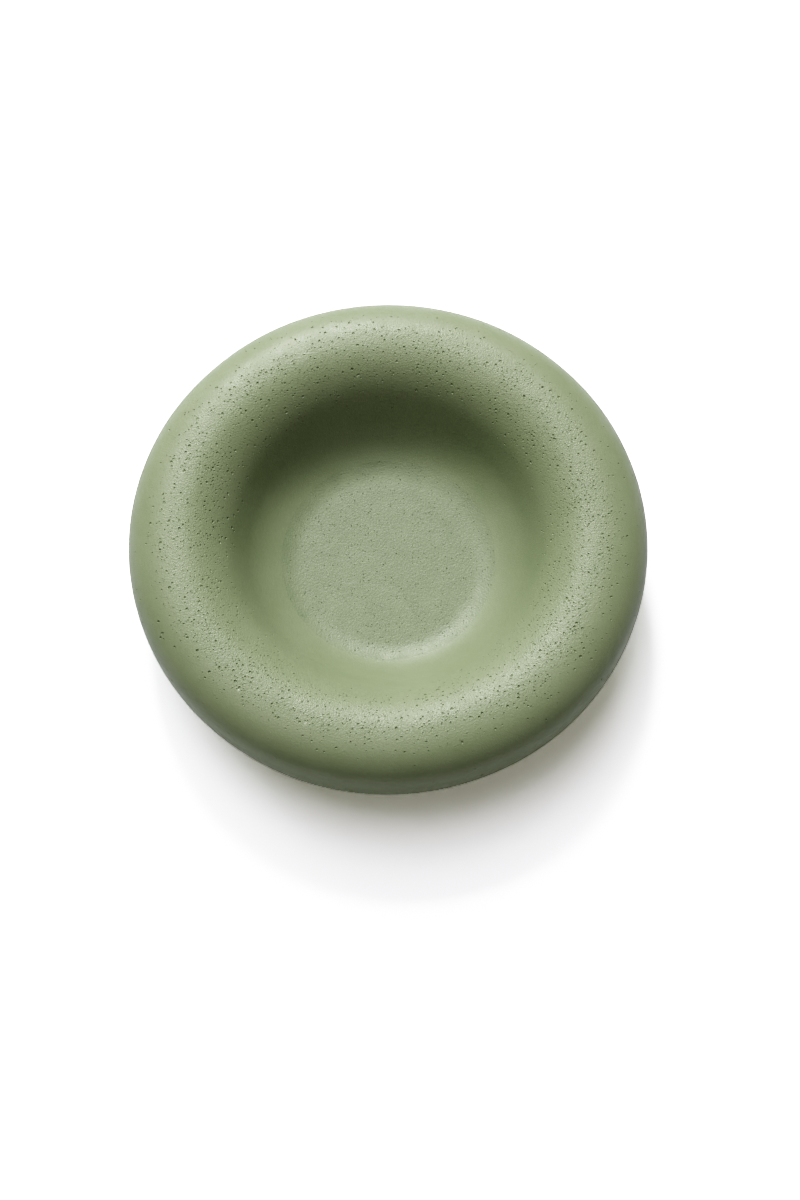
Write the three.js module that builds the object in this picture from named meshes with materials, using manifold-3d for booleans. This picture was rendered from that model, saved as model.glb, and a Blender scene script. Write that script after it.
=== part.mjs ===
// Shaving soap in a rolled-rim dish: a one-piece cast dish with a fat rolled rim and a bowl-shaped
// well, a hard soap puck bedded flush in the bottom of the well, and four rubber bumpers half sunk
// into the underside. The puck lifts straight out.
//
// Millimetres, +Z up. The origin is at the bottom centre, on the surface the bumpers stand on.

import * as THREE from 'three';
import { mergeVertices } from 'three/addons/utils/BufferGeometryUtils.js';
import Module from 'manifold-3d';

const wasm = await Module();
wasm.setup();

// ---------------------------------------------------------------- driving dimensions

const outerRadius = 65; // widest circle of the rim, its belt
const beltHeight = 22.3;
const crestRadius = 52.4; // top circle of the rim
const crestHeight = 31.7;
const crestRoll = 16.5; // radius of the rim's section from its crest down into the well
const shoulderFullness = 2.4; // exponent of the section from belt to crest: above 2 is squarer
const beltRoll = 12.5; // radius of the section from the belt down to the tapered underside
const floorRadius = 21.8; // flat middle of the well
const floorHeight = 11.9;
const floorFillet = 16.2; // radius of the curve from the floor up into the well wall

const baseRadius = 38; // flat underside of the dish, where the taper starts
const baseHeight = 1.5; // how far the bumpers hold the dish off the surface

const puckRadius = 27; // where the puck's top meets the well wall
const puckThickness = 6.5; // at its flat middle
const puckDraft = THREE.MathUtils.degToRad(4); // its side narrows downwards
const puckBottomRound = 1.2;

const bumperRadius = 6;
const bumperThickness = 3;
const bumperRound = 0.8;
const bumperCount = 4;
const bumperCircle = 29.5; // radius of the circle that the bumpers' centres lie on

const gap = 0.3; // clearance between neighbouring pieces

// ---------------------------------------------------------------- mesh fineness

const dishSides = 72;
const puckSides = 72;
const bumperSides = 32;
const largeArcSteps = 12;
const smallArcSteps = 4;

// ---------------------------------------------------------------- materials

const dishMaterial = new THREE.MeshStandardMaterial({ color: 0x9aa582, roughness: 0.5, metalness: 0 });
const soapMaterial = new THREE.MeshStandardMaterial({ color: 0x9ba687, roughness: 0.55, metalness: 0 });
const rubberMaterial = new THREE.MeshStandardMaterial({ color: 0x3a3b38, roughness: 0.85, metalness: 0 });

// ---------------------------------------------------------------- outlines, in (radius, height)

const UP = Math.PI / 2;
const DOWN = -Math.PI / 2;

function point(radius, height) {
  return new THREE.Vector2(radius, height);
}

// Points along a superellipse about a centre, from one angle to another. A circle has reach equal
// to rise and a fullness of 2.
function roundedRun({ centre, reach, rise, fullness = 2, from, to, steps }) {
  return Array.from({ length: steps + 1 }, (_, i) => {
    const angle = from + (to - from) * i / steps;
    const across = Math.cos(angle);
    const along = Math.sin(angle);
    const x = Math.sign(across) * Math.abs(across) ** (2 / fullness);
    const y = Math.sign(along) * Math.abs(along) ** (2 / fullness);
    return point(centre.x + reach * x, centre.y + rise * y);
  });
}

function arc(centre, radius, from, to, steps) {
  return roundedRun({ centre, reach: radius, rise: radius, from, to, steps });
}

// ---------------------------------------------------------------- solids

// An outline turned about +Z into one closed body. It runs from the axis at the bottom, round the
// outside, and back to the axis at the top.
function turned(outline, sides) {
  const geometry = new THREE.LatheGeometry(outline, sides);
  geometry.rotateX(UP);
  return welded(geometry);
}

// Shared vertices joined, and the triangles that this folds to a line at the axis taken out.
function welded(geometry) {
  geometry.deleteAttribute('normal');
  geometry.deleteAttribute('uv');
  const merged = mergeVertices(geometry);
  const index = merged.index.array;
  const kept = [];
  for (let i = 0; i < index.length; i += 3) {
    const [a, b, c] = index.slice(i, i + 3);
    if (a !== b && b !== c && c !== a) kept.push(a, b, c);
  }
  merged.setIndex(kept);
  merged.computeVertexNormals();
  return merged;
}

function toSolid(geometry) {
  return new wasm.Manifold(new wasm.Mesh({
    numProp: 3,
    vertProperties: new Float32Array(geometry.attributes.position.array),
    triVerts: new Uint32Array(geometry.index.array),
  }));
}

function toGeometry(solid) {
  const mesh = solid.getMesh();
  const geometry = new THREE.BufferGeometry();
  geometry.setAttribute('position', new THREE.BufferAttribute(mesh.vertProperties, 3));
  geometry.setIndex(new THREE.BufferAttribute(mesh.triVerts, 1));
  geometry.computeVertexNormals();
  return geometry;
}

function named(name, geometry, material) {
  const mesh = new THREE.Mesh(geometry, material);
  mesh.name = name;
  return mesh;
}

// ---------------------------------------------------------------- the well

const crestCentre = point(crestRadius, crestHeight - crestRoll);
const filletCentre = point(floorRadius, floorHeight + floorFillet);

// The steepest part of the well wall is the straight line that touches the crest roll and the
// floor fillet, which curve opposite ways.
const betweenCentres = crestCentre.clone().sub(filletCentre);
const wallSlope = Math.atan2(betweenCentres.y, betweenCentres.x)
  + Math.asin((crestRoll + floorFillet) / betweenCentres.length());

// Where the floor fillet reaches a given radius: the slope there and the height.
function onFillet(radius) {
  const slope = Math.asin((radius - floorRadius) / floorFillet);
  return { radius, slope, height: floorHeight + floorFillet * (1 - Math.cos(slope)) };
}

// ---------------------------------------------------------------- pieces

const puckBottom = floorHeight - puckThickness;
const seatHeight = puckBottom - gap;

const bumperCentres = Array.from({ length: bumperCount }, (_, i) => {
  const angle = 2 * Math.PI * (i + 0.5) / bumperCount;
  return new THREE.Vector3(Math.cos(angle), Math.sin(angle), 0).multiplyScalar(bumperCircle);
});

// The outer flank of the rim: a straight taper up from the base, a roll round to the belt, and a
// fuller shoulder over it.
function rimFlank() {
  const base = point(baseRadius, baseHeight);
  const rollCentre = point(outerRadius - beltRoll, beltHeight);
  const toCentre = rollCentre.clone().sub(base);
  const taperSlope = toCentre.angle() - Math.asin(beltRoll / toCentre.length());
  const roll = arc(rollCentre, beltRoll, taperSlope + DOWN, 0, largeArcSteps);
  const shoulder = roundedRun({
    centre: point(crestRadius, beltHeight),
    reach: outerRadius - crestRadius,
    rise: crestHeight - beltHeight,
    fullness: shoulderFullness,
    from: 0,
    to: UP,
    steps: largeArcSteps,
  });
  return [base, ...roll, ...shoulder.slice(1)];
}

function dishBody() {
  const lip = onFillet(puckRadius + gap / 2);
  const seatRadius = lip.radius - (lip.height - seatHeight) * Math.tan(puckDraft);
  const outline = [
    point(0, baseHeight),
    ...rimFlank(),
    ...arc(crestCentre, crestRoll, UP, UP + wallSlope, largeArcSteps).slice(1),
    ...arc(filletCentre, floorFillet, DOWN + wallSlope, DOWN + lip.slope, largeArcSteps),
    point(seatRadius, seatHeight),
    point(0, seatHeight),
  ];

  let solid = toSolid(turned(outline, dishSides));
  const recessRadius = bumperRadius + gap;
  const recessTop = bumperThickness + gap;
  for (const centre of bumperCentres) {
    const cutter = new THREE.CylinderGeometry(recessRadius, recessRadius, 2 * recessTop, bumperSides);
    cutter.rotateX(UP);
    cutter.translate(centre.x, centre.y, 0);
    solid = solid.subtract(toSolid(welded(cutter)));
  }
  return named('dish_body', toGeometry(solid), dishMaterial);
}

function soapPuck() {
  const edge = onFillet(puckRadius - gap / 2);
  const bottomRadius = edge.radius - (edge.height - puckBottom) * Math.tan(puckDraft);
  const roundCentre = point(bottomRadius - puckBottomRound, puckBottom + puckBottomRound);
  const outline = [
    point(0, puckBottom),
    ...arc(roundCentre, puckBottomRound, DOWN, 0, smallArcSteps),
    ...arc(filletCentre, floorFillet, DOWN + edge.slope, DOWN, smallArcSteps),
    point(0, floorHeight),
  ];
  return named('soap_puck', turned(outline, puckSides), soapMaterial);
}

function bumper(name, centre) {
  const roundCentre = point(bumperRadius - bumperRound, bumperRound);
  const outline = [
    point(0, 0),
    ...arc(roundCentre, bumperRound, DOWN, 0, smallArcSteps),
    point(bumperRadius, bumperThickness),
    point(0, bumperThickness),
  ];
  const mesh = named(name, turned(outline, bumperSides), rubberMaterial);
  mesh.position.copy(centre);
  return mesh;
}

// ---------------------------------------------------------------- assembly

const part = new THREE.Group();
part.add(dishBody());
part.add(soapPuck());
bumperCentres.forEach((centre, i) => part.add(bumper(`foot_pad_${i + 1}`, centre)));

export default part;
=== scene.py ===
# Shaving soap in a rolled-rim dish: the looks, built around the imported frame.
#
# The dish is cast, and air in the casting left a band of pinholes round the top of its rim. The
# larger pinholes are real pits in the mesh, and the finest ones are bump, with painted shade in
# their colour. Lengths are in millimetres down to the mesh functions, which scale each mesh to
# metres as they make it. The floor, the lights and the camera are in metres.

import math

import bmesh
import bpy
import numpy as np
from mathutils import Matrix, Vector, geometry, kdtree, noise


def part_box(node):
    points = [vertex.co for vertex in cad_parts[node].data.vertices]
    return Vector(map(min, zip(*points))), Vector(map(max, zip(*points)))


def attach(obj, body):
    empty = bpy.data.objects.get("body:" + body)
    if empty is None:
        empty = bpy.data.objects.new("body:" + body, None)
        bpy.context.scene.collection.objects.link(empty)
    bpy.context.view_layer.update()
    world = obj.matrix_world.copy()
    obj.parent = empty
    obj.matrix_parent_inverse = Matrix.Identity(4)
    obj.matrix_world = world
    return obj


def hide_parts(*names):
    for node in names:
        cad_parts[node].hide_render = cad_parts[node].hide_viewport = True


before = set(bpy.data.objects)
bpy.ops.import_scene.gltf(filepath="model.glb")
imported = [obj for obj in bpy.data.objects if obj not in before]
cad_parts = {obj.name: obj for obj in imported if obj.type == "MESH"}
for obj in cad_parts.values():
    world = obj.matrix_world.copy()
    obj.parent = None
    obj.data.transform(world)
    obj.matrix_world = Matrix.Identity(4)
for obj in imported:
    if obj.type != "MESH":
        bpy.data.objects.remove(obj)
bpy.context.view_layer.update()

# ---------------------------------------------------------------- dimensions from the frame

MM = 0.001

dish_low, dish_high = (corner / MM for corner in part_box("dish_body"))
puck_low, puck_high = (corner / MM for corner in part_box("soap_puck"))

OUTER_RADIUS = dish_high.x
CREST_HEIGHT = dish_high.z
BASE_HEIGHT = dish_low.z
PUCK_BOTTOM = puck_low.z
BUMPERS = sorted(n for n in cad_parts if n.startswith("foot_pad"))

# ---------------------------------------------------------------- the section

# It is the frame's section, apart from a softened edge round the base and a tight seam.

BELT_HEIGHT = 22.3
BELT_ROLL = 12.5
CREST_RADIUS = 52.4
CREST_ROLL = 16.5
SHOULDER_FULLNESS = 2.4
FLOOR_RADIUS = 21.8
FLOOR_HEIGHT = 11.9
FLOOR_FILLET = 16.2
BASE_RADIUS = 38.0
BASE_ROUND = 5.0  # the soft edge between the taper and the flat base

PUCK_RADIUS = 27.0
PUCK_DRAFT = math.radians(4)
PUCK_BOTTOM_ROUND = 1.2
SEAT_GAP = 0.3
SEAM = 0.001  # between the puck's top edge and the dish
SEAT_CORNER = 0.4  # where the seat's wall turns into its floor
SEAT_CORNER_SAG = (0.1, 0.08)  # how far the corner's middle lies out and up from the floor's edge

BUMPER_THICKNESS = 3.0
BUMPER_ROUND = 0.8
BUMPER_TOP_ROUND = 0.2
BUMPER_TOP_SAG = 0.06  # how far in and down the middle of that round edge lies
RECESS_GAP = 0.3
RECESS_ROUND = 0.3
GATE_MARK = ((0.35, 0.22), (0.55, 0.12), (0.8, 0.15))  # in the middle of a bumper's foot
FOOT_HOLLOW = ((0.45, 0.12), (0.62, 0.03), (0.68, 0.0))  # shares of the radius, and heights

# ---------------------------------------------------------------- mesh fineness

SIDES = 288
BUMPER_SIDES = 64
PATCH_SPACING = 1.3
UNDERSIDE_SPACING = 1.6
GRID_INSET = 0.6  # of a spacing, from a surface's edges to its first and last rows of points
RECESS_MARGIN = 0.5  # bare ring round each recess, where the underside has no grid points
HUB = 1.0  # a turned face ends in a fan of triangles from this radius inwards
HUB_STEPS = 14
WELD_DISTANCE = 0.0005
AXIS = 0.001  # a surface's outline starts this far from the Z axis
SHARP_EDGE = math.radians(42)

UP = math.pi / 2
DOWN = -math.pi / 2


# ---------------------------------------------------------------- outlines, in (radius, height)

def rounded_run(centre, reach, rise, start, end, steps=60, fullness=2.0):
    """Points along a superellipse from one angle to another. A fullness of 2 is an ellipse."""
    angles = np.linspace(start, end, steps + 1)
    across, along = np.cos(angles), np.sin(angles)
    radius = centre[0] + reach * np.sign(across) * np.abs(across) ** (2 / fullness)
    height = centre[1] + rise * np.sign(along) * np.abs(along) ** (2 / fullness)
    return list(zip(radius, height))


def arc(centre, radius, start, end, steps=60):
    return rounded_run(centre, radius, radius, start, end, steps)


def straight(start, end, steps):
    return [tuple(p) for p in np.linspace(start, end, steps + 1)]


CREST_CENTRE = (CREST_RADIUS, CREST_HEIGHT - CREST_ROLL)
FILLET_CENTRE = (FLOOR_RADIUS, FLOOR_HEIGHT + FLOOR_FILLET)
BELT_CENTRE = (OUTER_RADIUS - BELT_ROLL, BELT_HEIGHT)


def tangent_slope(start, end, turn_radius):
    """The slope of the line that leaves one point, or a circle about it, and touches a circle
    about the other. turn_radius is the circles' total radius where they curve opposite ways."""
    across, rise = end[0] - start[0], end[1] - start[1]
    return math.atan2(rise, across) + math.asin(turn_radius / math.hypot(across, rise))


def fillet_slope(radius):
    return math.asin((radius - FLOOR_RADIUS) / FLOOR_FILLET)


def fillet_height(radius):
    return FLOOR_HEIGHT + FLOOR_FILLET * (1 - math.cos(fillet_slope(radius)))


# ---------------------------------------------------------------- the flat map of a turned surface

def log_mean(a, b):
    """The mean of two radii that maps a flat disc onto itself."""
    same = np.abs(b - a) < 1e-6
    return np.where(same, a, (b - a) / np.log(np.where(same, 2.0, b / a)))


class TurnedSurface:
    """The surface that an outline makes when it is turned about the Z axis, with a flat map of it.

    The outline runs outwards from the surface's inner edge or from the axis. The map keeps angles,
    so a small circle on the surface is a circle on the map, and triangles that are well shaped on
    one are well shaped on the other. A point keeps its azimuth on the map, and its map radius grows
    along the outline. facing is 1 where the outside is on the left of the outline, else -1.
    """

    def __init__(self, outline, facing=1):
        points = np.array(outline)
        moved = np.hypot(*np.diff(points, axis=0).T) > 1e-6
        self.radius, self.height = points[np.concatenate([[True], moved])].T
        steps = np.hypot(np.diff(self.radius), np.diff(self.height))
        self.length = np.concatenate([[0], np.cumsum(steps)])
        growth = np.cumsum(steps / log_mean(self.radius[:-1], self.radius[1:]))
        self.map_radius = self.radius[0] * np.exp(np.concatenate([[0], growth]))
        self.normal_r = -facing * np.gradient(self.height, self.length)
        self.normal_z = facing * np.gradient(self.radius, self.length)

    def stretch(self, map_radius):
        """How many lengths on the map one length on the surface is."""
        return map_radius / np.interp(map_radius, self.map_radius, self.radius)

    def ring(self, map_radius, count, turn=0.0):
        azimuth = turn + 2 * np.pi * np.arange(count) / count
        return map_radius * np.column_stack([np.cos(azimuth), np.sin(azimuth)])

    def to_space(self, flat, raised=0.0):
        """Points in space for points on the map, raised along the outward normal."""
        map_radius = np.hypot(flat[:, 0], flat[:, 1])
        azimuth = np.arctan2(flat[:, 1], flat[:, 0])
        lines = (self.radius, self.height, self.normal_r, self.normal_z)
        radius, height, normal_r, normal_z = (np.interp(map_radius, self.map_radius, v) for v in lines)
        size = np.hypot(normal_r, normal_z)
        radius = radius + raised * normal_r / size
        height = height + raised * normal_z / size
        return np.column_stack([radius * np.cos(azimuth), radius * np.sin(azimuth), height])

    def grid(self, spacing, rng):
        """Even points over the map, between its edges, with rows a little out of step."""
        first, last = spacing * GRID_INSET, self.length[-1] - spacing * GRID_INSET
        rows = max(1, round((last - first) / (spacing * math.sqrt(0.75))))
        points = []
        for length in np.linspace(first, last, rows + 1):
            radius = np.interp(length, self.length, self.radius)
            map_radius = np.interp(length, self.length, self.map_radius)
            count = max(6, round(2 * np.pi * radius / spacing))
            points.append(self.ring(map_radius, count, rng.uniform(0, 2 * np.pi)))
        return np.concatenate(points)


# ---------------------------------------------------------------- pinholes

# Each ring of a pit: its share of the pit's radius, its share of the depth, and its points.
PIT_RINGS = ((1.0, 0.0, 9), (0.8, 0.5, 8), (0.5, 0.9, 5), (0.0, 1.0, 1))
PIT_OVAL = 0.2  # the most that a pit is out of round
PIT_DENT = 0.1  # the same, for a three-sided pit
PIT_MARGIN = 0.25  # bare ring round each pit, where the surface has no grid points
PIT_APART = 0.05  # least distance between neighbouring pits, beyond a quarter of their radii
PLACING_TRIES = 200


def scatter_pits(surface, count, density, radii, rng):
    """Places pits on a surface by a density from 0 to 1 of outline length and azimuth, larger ones
    first and none touching. Returns map centres and radii."""
    weight = np.gradient(surface.length) * surface.radius
    share = np.cumsum(weight) / weight.sum()
    flats, spots, sizes = [], np.empty((0, 3)), np.empty(0)
    for radius in sorted(radii(count), reverse=True):
        for _ in range(PLACING_TRIES):
            length = np.interp(rng.uniform(), share, surface.length)
            azimuth = rng.uniform(-np.pi, np.pi)
            if rng.uniform() > density(length, azimuth):
                continue
            map_radius = np.interp(length, surface.length, surface.map_radius)
            flat = map_radius * np.array([math.cos(azimuth), math.sin(azimuth)])
            spot = surface.to_space(flat[None])[0]
            apart = np.linalg.norm(spots - spot, axis=1)
            if np.all(apart > 1.25 * (sizes + radius) + PIT_APART):
                flats.append(flat)
                spots = np.vstack([spots, spot])
                sizes = np.append(sizes, radius)
                break
    return np.array(flats), sizes


def pit_points(surface, centres, sizes, depth_share, rng):
    """Map points and heights for the rings of every pit. A pit is a little out of round."""
    if not len(sizes):
        return np.empty((0, 2)), np.empty(0)
    along = centres / np.linalg.norm(centres, axis=1)[:, None]
    across = np.column_stack([-along[:, 1], along[:, 0]])
    scale = sizes * surface.stretch(np.linalg.norm(centres, axis=1))
    oval, oval_turn = rng.uniform(0, PIT_OVAL, len(sizes)), rng.uniform(0, np.pi, len(sizes))
    dent, dent_turn = rng.uniform(0, PIT_DENT, len(sizes)), rng.uniform(0, np.pi, len(sizes))
    depth = sizes * rng.uniform(*depth_share, len(sizes))
    points, heights = [], []
    for share, drop, count in PIT_RINGS:
        turn = rng.uniform(0, 2 * np.pi, len(sizes))
        for step in range(count):
            angle = turn + 2 * np.pi * step / count
            shape = 1 + oval * np.cos(2 * (angle - oval_turn)) + dent * np.cos(3 * (angle - dent_turn))
            reach = (share * scale * shape)[:, None]
            out = np.cos(angle)[:, None] * along + np.sin(angle)[:, None] * across
            points.append(centres + reach * out)
            heights.append(-depth * drop)
    return np.concatenate(points), np.concatenate(heights)


def clear_of_pits(surface, grid, centres, sizes):
    """The grid points that lie outside every pit by a margin."""
    if not len(sizes):
        return grid
    tree = kdtree.KDTree(len(sizes))
    for index, spot in enumerate(surface.to_space(centres)):
        tree.insert(spot, index)
    tree.balance()
    spots = surface.to_space(grid)
    near = min(4, len(sizes))
    kept = [all(gap > sizes[i] + PIT_MARGIN for _, i, gap in tree.find_n(spot, near)) for spot in spots]
    return grid[np.array(kept)]


# ---------------------------------------------------------------- meshes

class Shell:
    """Vertices and faces gathered patch by patch, and welded into one mesh at the end."""

    def __init__(self):
        self.vertices, self.faces = [], []

    def add(self, vertices, faces):
        base = len(self.vertices)
        self.vertices.extend(map(tuple, vertices))
        self.faces.extend(tuple(base + i for i in face) for face in faces)

    def add_patch(self, surface, edges, inside, raised, holes=()):
        """A triangulated patch of a surface. edges are rings of map points shared with neighbouring
        patches, inside are the points between them with their heights, and holes are more rings,
        which are left open."""
        rings = [*edges, *holes]
        flat = np.concatenate([*rings, inside])
        height = np.concatenate([np.zeros(len(flat) - len(inside)), raised])
        loop = np.repeat([*range(len(rings)), -1], [*map(len, rings), len(inside)])
        result = geometry.delaunay_2d_cdt([Vector(p) for p in flat], [], [], 0, 1e-6)
        _, _, triangles, origins, _, _ = result
        source = np.array([o[0] for o in origins])
        open_loops = set(range(len(edges), len(rings))) | ({0} if len(edges) > 1 else set())
        kept = []
        for triangle in triangles:
            corners = [source[i] for i in triangle]
            loops = {loop[i] for i in corners}
            if len(loops) == 1 and loops <= open_loops:
                continue
            kept.append(corners)
        self.add(surface.to_space(flat, height), kept)

    def add_turned(self, outline, sides, capped, centre=(0.0, 0.0)):
        """An outline turned about an upright axis as rings of quads. The rings in capped are closed."""
        azimuth = 2 * np.pi * np.arange(sides) / sides
        vertices = []
        for radius, height in outline:
            x, y = centre[0] + radius * np.cos(azimuth), centre[1] + radius * np.sin(azimuth)
            vertices.extend(zip(x, y, np.full(sides, height)))
        faces = []
        for row in range(len(outline) - 1):
            for side in range(sides):
                after = (side + 1) % sides
                low, high = row * sides, (row + 1) * sides
                faces.append((low + side, low + after, high + after, high + side))
        for row in capped:
            start = row % len(outline) * sides
            vertices.append((*centre, outline[row][1]))
            for side in range(sides):
                faces.append((start + side, start + (side + 1) % sides, len(vertices) - 1))
        self.add(vertices, faces)

    def to_object(self, name, material, unevenness=None):
        mesh = bpy.data.meshes.new(name)
        mesh.from_pydata([Vector(v) * MM for v in self.vertices], [], self.faces)
        work = bmesh.new()
        work.from_mesh(mesh)
        bmesh.ops.remove_doubles(work, verts=work.verts, dist=WELD_DISTANCE * MM)
        bmesh.ops.recalc_face_normals(work, faces=work.faces)
        if unevenness:
            for vertex in work.verts:
                vertex.co += unevenness(vertex.co)
        work.to_mesh(mesh)
        work.free()
        mesh.shade_smooth()
        mesh.set_sharp_from_angle(angle=SHARP_EDGE)
        mesh.materials.append(material)
        piece = bpy.data.objects.new(name, mesh)
        bpy.context.scene.collection.objects.link(piece)
        return piece


# ---------------------------------------------------------------- where the pinholes are

BAND_RADIUS = 48.8  # the band of pinholes runs round the crest, a little to its inside
BAND_HALF_WIDTH = 8.8
BAND_FALLOFF = 3  # how squarely the band ends on either side
BAND_LOWEST = 21.5
BAND_FADE = 2.0  # the height over which it fades in above its lowest
PINHOLES = 3000
PINHOLE_RADIUS = 0.2  # typical; they spread about it
PINHOLE_LIMITS = (0.12, 0.38)
PINHOLE_DEPTH = (0.45, 0.85)  # as a share of the radius
PINHOLE_SPREAD = 0.33  # of the radii, as a share
STRAY_SHARE = 0.016  # pinholes outside the band, against those inside it
THICK_SIDE = math.radians(168)  # the band is thickest here and opposite
THICK_MEAN, THICK_SWING = 0.82, 0.22

UNEVEN_LENGTH = 26.0  # slow unevenness of the casting
UNEVEN_HEIGHT = 0.10
PATCH_LENGTH = 11.0  # pinholes come in thicker and thinner patches
PATCH_MEAN, PATCH_SWING = 0.7, 0.9

PUCK_PITS = 160
PUCK_PIT_RADIUS = 0.12
PUCK_PIT_LIMITS = (0.09, 0.2)
PUCK_PIT_SPREAD = 0.3
PUCK_PIT_DEPTH = (0.5, 0.9)
PUCK_PIT_INSET = 1.0  # from the puck's middle and from its edge


def band_share(radius, height):
    """How pinholed the surface is, from 0 to 1, by its place in the section."""
    edge = np.exp(-np.abs((radius - BAND_RADIUS) / BAND_HALF_WIDTH) ** BAND_FALLOFF)
    return edge * np.clip((height - BAND_LOWEST) / BAND_FADE, 0, 1)


def pinhole_density(surface):
    def density(length, azimuth):
        radius = np.interp(length, surface.length, surface.radius)
        height = np.interp(length, surface.length, surface.height)
        spot = Vector((radius * math.cos(azimuth), radius * math.sin(azimuth), height))
        patch = PATCH_MEAN + PATCH_SWING * noise.noise(spot / PATCH_LENGTH)
        around = THICK_MEAN + THICK_SWING * math.cos(2 * (azimuth - THICK_SIDE))
        share = float(band_share(radius, height)) * patch * around
        return max(share, STRAY_SHARE * (height > BELT_HEIGHT))
    return density


def spread_radii(typical, limits, spread, rng):
    return lambda count: np.clip(typical * np.exp(rng.normal(0, spread, count)), *limits)


def unevenness(spot):
    return noise.noise_vector(spot / (UNEVEN_LENGTH * MM)) * UNEVEN_HEIGHT * MM


# ---------------------------------------------------------------- pieces

def dish_outline():
    """From the lip round the puck, up the well wall, over the rim and down to the flat base."""
    lip = PUCK_RADIUS + SEAM / 2
    wall = tangent_slope(FILLET_CENTRE, CREST_CENTRE, CREST_ROLL + FLOOR_FILLET)
    taper = tangent_slope((BASE_RADIUS, BASE_HEIGHT), BELT_CENTRE, -BELT_ROLL)
    roll = arc(BELT_CENTRE, BELT_ROLL, 0, DOWN + taper)
    edge_centre = (BASE_RADIUS - BASE_ROUND * math.tan(taper / 2), BASE_HEIGHT + BASE_ROUND)
    edge = arc(edge_centre, BASE_ROUND, DOWN + taper, DOWN, 12)
    return [
        *arc(FILLET_CENTRE, FLOOR_FILLET, DOWN + fillet_slope(lip), DOWN + wall),
        *arc(CREST_CENTRE, CREST_ROLL, UP + wall, UP),
        *rounded_run((CREST_RADIUS, BELT_HEIGHT), OUTER_RADIUS - CREST_RADIUS,
                     CREST_HEIGHT - BELT_HEIGHT, UP, 0, fullness=SHOULDER_FULLNESS),
        *roll,
        *straight(roll[-1], edge[0], 30)[1:],
        *edge[1:],
    ]


def side_wall(edge, top, bottom, steps=8):
    """The drafted wall round the puck, from its top edge down."""
    low = edge - (top - bottom) * math.tan(PUCK_DRAFT)
    return straight((edge, top), (low, bottom), steps)


def bumper_centre(name):
    low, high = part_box(name)
    centre = (low + high) / 2 / MM
    return np.array([centre.x, centre.y]), (high.x - low.x) / 2 / MM


def make_dish(material, rng):
    top = TurnedSurface(dish_outline())
    lip = top.ring(top.map_radius[0], SIDES)
    base = top.ring(top.map_radius[-1], SIDES)
    radii = spread_radii(PINHOLE_RADIUS, PINHOLE_LIMITS, PINHOLE_SPREAD, rng)
    centres, sizes = scatter_pits(top, PINHOLES, pinhole_density(top), radii, rng)
    pits, heights = pit_points(top, centres, sizes, PINHOLE_DEPTH, rng)
    grid = clear_of_pits(top, top.grid(PATCH_SPACING, rng), centres, sizes)
    shell = Shell()
    shell.add_patch(top, [lip, base], np.concatenate([grid, pits]),
                    np.concatenate([np.zeros(len(grid)), heights]))

    under = TurnedSurface(straight((AXIS, BASE_HEIGHT), (top.radius[-1], BASE_HEIGHT), 60), facing=-1)
    recesses = []
    grid = under.grid(UNDERSIDE_SPACING, rng)
    for name in BUMPERS:
        centre, radius = bumper_centre(name)
        radius += RECESS_GAP
        azimuth = 2 * np.pi * np.arange(BUMPER_SIDES) / BUMPER_SIDES
        recesses.append(centre + radius * np.column_stack([np.cos(azimuth), np.sin(azimuth)]))
        grid = grid[np.linalg.norm(grid - centre, axis=1) > radius + RECESS_MARGIN]
        ceiling = BUMPER_THICKNESS + RECESS_GAP
        shell.add_turned(
            [(radius, BASE_HEIGHT), (radius, ceiling - RECESS_ROUND),
             (radius - RECESS_ROUND, ceiling), (radius / 2, ceiling)],
            BUMPER_SIDES, capped=(-1,), centre=centre)
    rim = under.ring(under.map_radius[-1], SIDES)
    shell.add_patch(under, [rim], grid, np.zeros(len(grid)), holes=recesses)

    edge = PUCK_RADIUS + SEAM / 2
    seat = PUCK_BOTTOM - SEAT_GAP
    wall = side_wall(edge, fillet_height(edge), seat + SEAT_CORNER)
    foot = wall[-1][0] - SEAT_CORNER
    shell.add_turned(
        [*wall, (foot + SEAT_CORNER_SAG[0], seat + SEAT_CORNER_SAG[1]),
         *straight((foot, seat), (HUB, seat), HUB_STEPS)],
        SIDES, capped=(-1,))
    return shell.to_object("dish", material, unevenness)


def make_puck(material, rng):
    edge = PUCK_RADIUS - SEAM / 2
    outline = [
        *straight((AXIS, FLOOR_HEIGHT), (FLOOR_RADIUS, FLOOR_HEIGHT), 60),
        *arc(FILLET_CENTRE, FLOOR_FILLET, DOWN, DOWN + fillet_slope(edge)),
    ]
    top = TurnedSurface(outline)
    radii = spread_radii(PUCK_PIT_RADIUS, PUCK_PIT_LIMITS, PUCK_PIT_SPREAD, rng)
    outermost = top.length[-1] - PUCK_PIT_INSET

    def density(length, azimuth):
        return float(PUCK_PIT_INSET < length < outermost)

    centres, sizes = scatter_pits(top, PUCK_PITS, density, radii, rng)
    pits, heights = pit_points(top, centres, sizes, PUCK_PIT_DEPTH, rng)
    grid = clear_of_pits(top, top.grid(PATCH_SPACING, rng), centres, sizes)
    shell = Shell()
    shell.add_patch(top, [top.ring(top.map_radius[-1], SIDES)], np.concatenate([grid, pits]),
                    np.concatenate([np.zeros(len(grid)), heights]))
    wall = side_wall(edge, fillet_height(edge), PUCK_BOTTOM + PUCK_BOTTOM_ROUND)
    corner = (wall[-1][0] - PUCK_BOTTOM_ROUND, wall[-1][1])
    shell.add_turned(
        [*wall, *arc(corner, PUCK_BOTTOM_ROUND, 0, DOWN, 8)[1:],
         *straight((corner[0], PUCK_BOTTOM), (HUB, PUCK_BOTTOM), HUB_STEPS)[1:]],
        SIDES, capped=(-1,))
    return shell.to_object("puck", material, unevenness)


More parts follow.
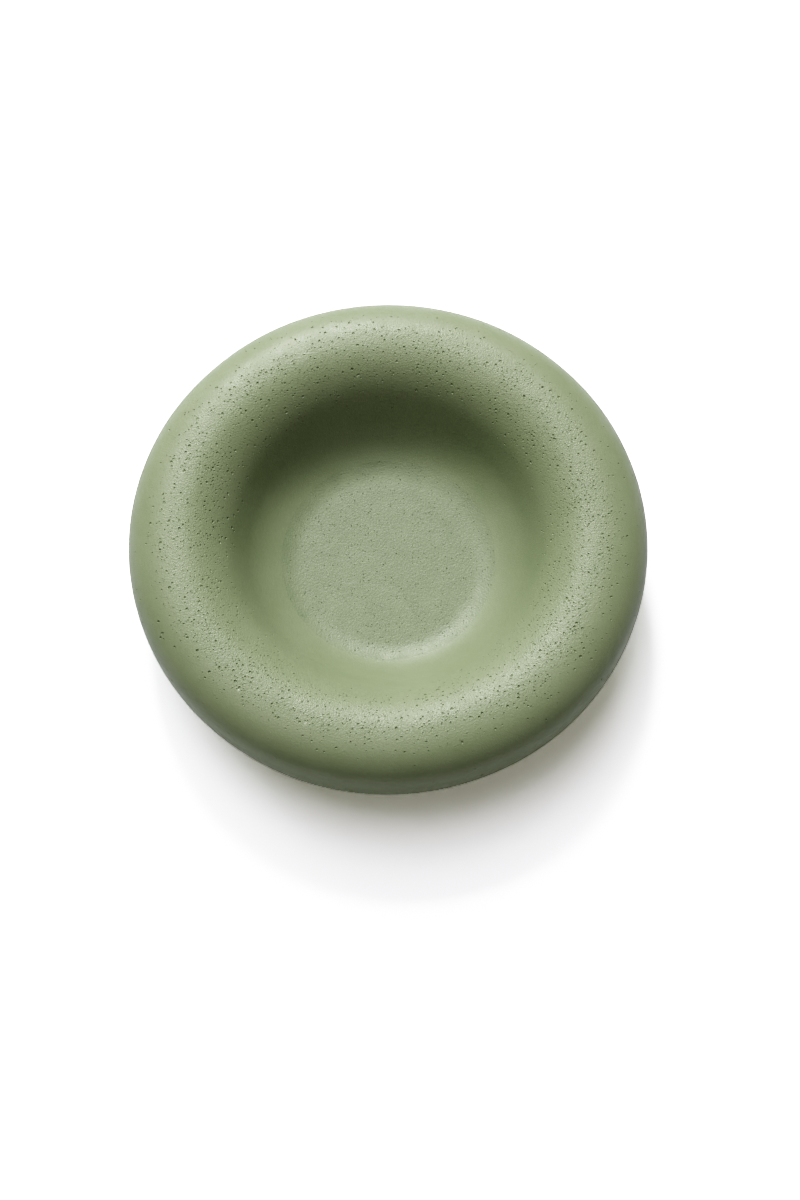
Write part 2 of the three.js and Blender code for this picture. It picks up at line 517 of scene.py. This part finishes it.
def make_bumper(name, material):
    """A moulded rubber bumper: a rounded edge, a shallow dish in its foot, and the gate mark."""
    centre, radius = bumper_centre(name)
    corner = (radius - BUMPER_ROUND, BUMPER_ROUND)
    outline = [
        *GATE_MARK,
        *((radius * share, height) for share, height in FOOT_HOLLOW),
        *arc(corner, BUMPER_ROUND, DOWN, 0, 10),
        *straight((radius, BUMPER_ROUND), (radius, BUMPER_THICKNESS - BUMPER_TOP_ROUND), 4)[1:],
        (radius - BUMPER_TOP_SAG, BUMPER_THICKNESS - BUMPER_TOP_SAG),
        (radius - BUMPER_TOP_ROUND, BUMPER_THICKNESS),
        (radius / 2, BUMPER_THICKNESS),
    ]
    shell = Shell()
    shell.add_turned(outline, BUMPER_SIDES, capped=(0, -1), centre=centre)
    return shell.to_object(name.replace("foot_pad", "bumper"), material)


def mark_pinholed(piece):
    """Stores how pinholed each vertex is, for the material."""
    spots = np.array([v.co for v in piece.data.vertices]) / MM
    share = band_share(np.hypot(spots[:, 0], spots[:, 1]), spots[:, 2])
    layer = piece.data.attributes.new("pinholed", "FLOAT", "POINT")
    layer.data.foreach_set("value", share.astype(np.float32))


# ---------------------------------------------------------------- materials

DULL_SHINE = 0.44  # of the dish and the soap; 0.5 is a plain polished surface
SPOT_EDGE = 0.4  # the share of a spot's size over which it fades out


class Nodes:
    """A material's nodes, made a step at a time. An input is a socket, a number or a colour."""

    def __init__(self, name):
        self.material = bpy.data.materials.new(name)
        self.material.use_nodes = True
        self.tree = self.material.node_tree
        self.shader = self.tree.nodes["Principled BSDF"]
        self.place = self.add("ShaderNodeTexCoord").outputs["Object"]

    def add(self, kind, inputs=None, **settings):
        node = self.tree.nodes.new(kind)
        for key, value in settings.items():
            setattr(node, key, value)
        for key, value in (inputs or {}).items():
            self.set(node.inputs[key], value)
        return node

    def set(self, socket, value):
        if isinstance(value, bpy.types.NodeSocket):
            self.tree.links.new(value, socket)
        else:
            socket.default_value = value

    def math(self, operation, *values):
        node = self.add("ShaderNodeMath", dict(enumerate(values)), operation=operation)
        return node.outputs[0]

    def noise(self, length, detail=2.0, roughness=0.5, distortion=0.0):
        """Noise from 0 to 1 whose lumps are about length millimetres across."""
        inputs = {"Vector": self.place, "Scale": 1 / (length * MM), "Detail": detail,
                  "Roughness": roughness, "Distortion": distortion}
        return self.add("ShaderNodeTexNoise", inputs).outputs["Fac"]

    def spots(self, spacing, chosen, size):
        """Round spots, 1 in the middle and 0 outside: cells of a spacing, a chosen share of which
        hold a spot of up to size millimetres in radius."""
        cells = self.add("ShaderNodeTexVoronoi", {"Vector": self.place, "Scale": 1 / (spacing * MM)})
        lot = self.add("ShaderNodeSeparateColor", {"Color": cells.outputs["Color"]}).outputs["Red"]
        reach = self.range(lot, 1 - chosen, 1, 0, size / spacing)
        inside = self.math("SUBTRACT", reach, cells.outputs["Distance"])
        return self.range(inside, 0, SPOT_EDGE * size / spacing, 0, 1)

    def range(self, value, low, high, to_low, to_high):
        inputs = {"Value": value, "From Min": low, "From Max": high, "To Min": to_low, "To Max": to_high}
        return self.add("ShaderNodeMapRange", inputs).outputs["Result"]

    def mix(self, factor, first, second):
        node = self.add("ShaderNodeMix", {"Factor": factor}, data_type="RGBA")
        self.set(node.inputs[6], first)
        self.set(node.inputs[7], second)
        return node.outputs[2]

    def bump(self, height, depth):
        """Bump whose full height is depth millimetres."""
        node = self.add("ShaderNodeBump", {"Height": height, "Distance": depth * MM, "Strength": 1.0})
        self.set(self.shader.inputs["Normal"], node.outputs["Normal"])


def rgb(red, green, blue):
    return (red, green, blue, 1.0)


MIDDLE = (0.3, 0.7)  # the range that most of a noise lies in

STONE_DARK = rgb(0.260, 0.307, 0.196)
STONE_LIGHT = rgb(0.288, 0.332, 0.222)
STONE_DUST = rgb(0.33, 0.37, 0.27)
# painted shade for the finer pinholes, which are too small to be pits in the mesh
PAINTED_HOLE_SHADE = rgb(0.09, 0.11, 0.06)

SOAP_DARK = rgb(0.222, 0.267, 0.169)
SOAP_LIGHT = rgb(0.266, 0.310, 0.202)
SOAP_DUST = rgb(0.29, 0.33, 0.24)
# painted shade for the soap's specks, which are also dents in the bump
PAINTED_SPECK_SHADE = rgb(0.1, 0.12, 0.08)

RUBBER_BLACK = rgb(0.022, 0.022, 0.021)
RUBBER_DUST = rgb(0.06, 0.06, 0.056)


def make_stone():
    """The casting: matt green mineral, mottled; finer pinholes are bump and painted shade; leathery rim."""
    nodes = Nodes("cast_stone")
    band = nodes.add("ShaderNodeAttribute", attribute_name="pinholed").outputs["Fac"]

    clouds = nodes.range(nodes.noise(16, detail=4, roughness=0.6, distortion=0.6), *MIDDLE, 0, 1)
    grain = nodes.range(nodes.noise(0.7, detail=3, roughness=0.7), *MIDDLE, 0, 1)
    colour = nodes.mix(clouds, STONE_DARK, STONE_LIGHT)
    colour = nodes.mix(nodes.math("MULTIPLY", grain, 0.2), colour, STONE_DUST)
    fine_holes = nodes.math("MULTIPLY", nodes.spots(0.8, 0.6, 0.17), band)
    # the finer pinholes are darkened with painted shade, besides their bump
    colour = nodes.mix(nodes.math("MULTIPLY", fine_holes, 0.6), colour, PAINTED_HOLE_SHADE)
    nodes.set(nodes.shader.inputs["Base Color"], colour)

    nodes.set(nodes.shader.inputs["Roughness"], nodes.range(nodes.noise(5, detail=4), *MIDDLE, 0.30, 0.40))
    nodes.set(nodes.shader.inputs["Specular IOR Level"], DULL_SHINE)

    leather = nodes.math("MULTIPLY", nodes.noise(0.42, detail=2), nodes.math("MULTIPLY_ADD", band, 0.8, 0.2))
    dust = nodes.math("MULTIPLY", nodes.noise(0.2, detail=2), 0.3)
    height = nodes.math("SUBTRACT", nodes.math("ADD", leather, dust), nodes.math("MULTIPLY", fine_holes, 1.5))
    nodes.bump(height, 0.12)
    return nodes.material


def make_soap():
    """Hard soap in the dish's own green, a little greyer, with fine dents darkened by painted shade."""
    nodes = Nodes("hard_soap")
    clouds = nodes.range(nodes.noise(7, detail=5, roughness=0.65, distortion=0.8), *MIDDLE, 0, 1)
    grain = nodes.range(nodes.noise(0.4, detail=3, roughness=0.7), *MIDDLE, 0, 1)
    colour = nodes.mix(clouds, SOAP_DARK, SOAP_LIGHT)
    colour = nodes.mix(nodes.math("MULTIPLY", grain, 0.4), colour, SOAP_DUST)
    specks = nodes.spots(0.7, 0.7, 0.2)
    # painted shade darkens the specks
    colour = nodes.mix(nodes.math("MULTIPLY", specks, 0.6), colour, PAINTED_SPECK_SHADE)
    nodes.set(nodes.shader.inputs["Base Color"], colour)
    nodes.set(nodes.shader.inputs["Roughness"], nodes.range(nodes.noise(4, detail=4), *MIDDLE, 0.34, 0.44))
    nodes.set(nodes.shader.inputs["Specular IOR Level"], DULL_SHINE)
    nodes.bump(nodes.math("ADD", nodes.noise(0.45, detail=3), nodes.math("MULTIPLY", specks, -0.8)), 0.075)
    return nodes.material


def make_rubber():
    nodes = Nodes("black_rubber")
    dust = nodes.range(nodes.noise(2.5, detail=5, roughness=0.7), 0.45, 0.75, 0, 1)
    nodes.set(nodes.shader.inputs["Base Color"], nodes.mix(dust, RUBBER_BLACK, RUBBER_DUST))
    nodes.set(nodes.shader.inputs["Roughness"], nodes.range(nodes.noise(1.2, detail=3), *MIDDLE, 0.68, 0.86))
    nodes.bump(nodes.noise(0.35, detail=3), 0.03)
    return nodes.material


# ---------------------------------------------------------------- stage, lights and camera

FLOOR_HALF_SIDE = 3.0
PAPER = 0.9
PAPER_LIT = 3.15  # painted light: the camera sees the paper this much brighter than the lamps make it, as a studio sweep is
PAPER_TINT = (1.0, 1.005, 1.1)  # a cool tint painted into the paper's colour, standing in for cool lights

# Each light: azimuth, elevation, distance, size, and irradiance at the object over pi. The key is a
# large soft box, and the lamp shows through the middle of its cloth as a brighter patch.
KEY = (math.radians(106.5), math.radians(37.9), 2.0, (2.24, 2.69), 0.355)
KEY_MIDDLE = (math.radians(100.0), math.radians(46.5), 1.96, (0.44, 0.44), 0.359)
OVERHEAD = (math.radians(151.2), math.radians(77.9), 2.0, (1.22, 1.22), 0.118)
SKY_HORIZON = 0.130  # the studio's walls are warm and lighter than its ceiling
SKY_TOP = 0.030
SKY_COLOUR = (1.10, 1.0, 0.82)

CAMERA_ELEVATION = math.radians(68.65)
CAMERA_DISTANCE = 1.16
CAMERA_LENS = 138.9
CAMERA_CLIP = (0.05, 20.0)
AIM_RIGHT = 0.00287  # the object sits left of the picture's middle, and above it
AIM_BELOW = 0.01363

TONE_CONTRAST = 1.682
TONE_DARKNESS = 0.512
TONE_POINTS = 25


def make_floor():
    """A plain pale sweep of paper. Its colour is raised for camera rays only, so the camera sees it as lit
    more than the object is: painted light.
    """
    nodes = Nodes("pale_paper")
    fibre = nodes.range(nodes.noise(3, detail=4), *MIDDLE, 0.985, 1.0)
    seen = nodes.add("ShaderNodeLightPath").outputs["Is Camera Ray"]
    # painted light: camera rays see the paper's colour raised by PAPER_LIT
    level = nodes.math("MULTIPLY", fibre, nodes.range(seen, 0, 1, PAPER, PAPER * PAPER_LIT))
    tint = zip(("Red", "Green", "Blue"), PAPER_TINT)
    shades = {channel: nodes.math("MULTIPLY", level, share) for channel, share in tint}
    colour = nodes.add("ShaderNodeCombineColor", shades).outputs["Color"]
    paper = nodes.add("ShaderNodeBsdfDiffuse", {"Color": colour})
    output = nodes.tree.nodes["Material Output"]
    nodes.set(output.inputs["Surface"], paper.outputs["BSDF"])
    half = FLOOR_HALF_SIDE
    mesh = bpy.data.meshes.new("floor")
    corners = [(-half, -half, 0), (half, -half, 0), (half, half, 0), (-half, half, 0)]
    mesh.from_pydata(corners, [], [(0, 1, 2, 3)])
    mesh.materials.append(nodes.material)
    floor = bpy.data.objects.new("floor", mesh)
    bpy.context.scene.collection.objects.link(floor)


def direction(azimuth, elevation):
    flat = math.cos(elevation)
    return Vector((math.cos(azimuth) * flat, math.sin(azimuth) * flat, math.sin(elevation)))


def add_light(name, azimuth, elevation, distance, size, strength):
    """A soft rectangular light that looks at the object."""
    light = bpy.data.lights.new(name, "AREA")
    light.shape = "RECTANGLE"
    light.size, light.size_y = size
    light.energy = strength * (math.pi * distance) ** 2
    place = direction(azimuth, elevation) * distance
    holder = bpy.data.objects.new(name, light)
    holder.location = place
    holder.rotation_euler = (-place).to_track_quat("-Z", "Y").to_euler()
    bpy.context.scene.collection.objects.link(holder)


def add_sky():
    """A world that is brightest at the horizon."""
    world = bpy.data.worlds.new("studio")
    world.use_nodes = True
    tree = world.node_tree
    place = tree.nodes.new("ShaderNodeTexCoord")
    parts = tree.nodes.new("ShaderNodeSeparateXYZ")
    level = tree.nodes.new("ShaderNodeMapRange")
    level.inputs["To Min"].default_value = SKY_HORIZON
    level.inputs["To Max"].default_value = SKY_TOP
    tree.links.new(place.outputs["Generated"], parts.inputs["Vector"])
    tree.links.new(parts.outputs["Z"], level.inputs["Value"])
    tree.links.new(level.outputs["Result"], tree.nodes["Background"].inputs["Strength"])
    tree.nodes["Background"].inputs["Color"].default_value = rgb(*SKY_COLOUR)
    bpy.context.scene.world = world


def add_camera():
    target = Vector((0, 0, BELT_HEIGHT * MM))
    back = direction(-math.pi / 2, CAMERA_ELEVATION)
    right = Vector((1, 0, 0))
    above = back.cross(right)
    aim = target + right * AIM_RIGHT - above * AIM_BELOW
    camera = bpy.data.cameras.new("camera")
    camera.lens = CAMERA_LENS
    camera.clip_start, camera.clip_end = CAMERA_CLIP
    holder = bpy.data.objects.new("camera", camera)
    holder.location = target + back * CAMERA_DISTANCE
    holder.rotation_euler = (aim - holder.location).to_track_quat("-Z", "Y").to_euler()
    bpy.context.scene.collection.objects.link(holder)
    bpy.context.scene.camera = holder


def decoded(level):
    return np.where(level <= 0.04045, level / 12.92, ((level + 0.055) / 1.055) ** 2.4)


def set_tone():
    """The picture's contrast: an S-curve on display levels, given to Blender's linear curve."""
    view = bpy.context.scene.view_settings
    view.view_transform = "Standard"
    view.use_curve_mapping = True
    levels = np.linspace(0, 1, TONE_POINTS)[1:-1]
    light = levels ** TONE_CONTRAST
    dark = TONE_DARKNESS * (1 - levels) ** TONE_CONTRAST
    curve = view.curve_mapping.curves[3]
    for x, y in zip(decoded(levels), decoded(light / (light + dark))):
        curve.points.new(float(x), float(y))
    view.curve_mapping.update()


# ---------------------------------------------------------------- the scene

SEED = 7

rng = np.random.default_rng(SEED)
noise.seed_set(SEED)  # without this, noise_vector differs from run to run

add_camera()
set_tone()
add_sky()
add_light("key", *KEY)
add_light("key_middle", *KEY_MIDDLE)
add_light("overhead", *OVERHEAD)
make_floor()

dish = make_dish(make_stone(), rng)
mark_pinholed(dish)
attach(dish, "dish")
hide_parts("dish_body")

puck = make_puck(make_soap(), rng)
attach(puck, "puck")
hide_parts("soap_puck")

rubber = make_rubber()
for name in BUMPERS:
    bumper = make_bumper(name, rubber)
    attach(bumper, "dish")
    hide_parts(name)
